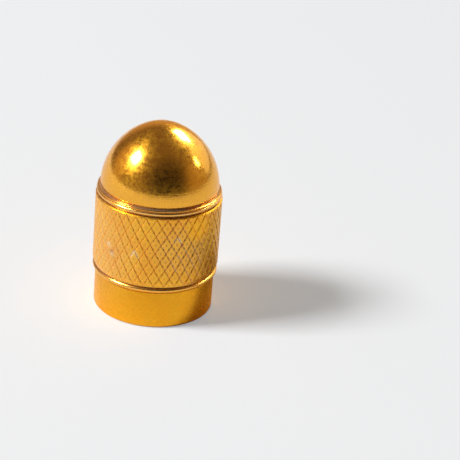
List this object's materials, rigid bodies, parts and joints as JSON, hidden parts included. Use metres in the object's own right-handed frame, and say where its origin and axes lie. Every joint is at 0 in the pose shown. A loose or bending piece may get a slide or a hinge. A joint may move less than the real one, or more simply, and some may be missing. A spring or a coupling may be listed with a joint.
{
  "type": "tyre valve cap",
  "caption": "Domed metal tyre valve cap with a diamond knurled grip, turned rings, a plain skirt and a threaded blind bore that ends at a rubber seal.",
  "frame": {"origin": "centre of the open rim, in the plane that the cap stands on", "axes": "+Z along the axis of the bore, from the rim to the top of the dome"},
  "size_m": [0.011, 0.011, 0.017],
  "materials": {
    "anodised_shell": "gold anodised, satin, with fine turning marks",
    "seal_rubber": "matt black"
  },
  "bodies": {
    "root": {"cap": "anodised_shell", "seal": "seal_rubber"}
  },
  "joints": []
}
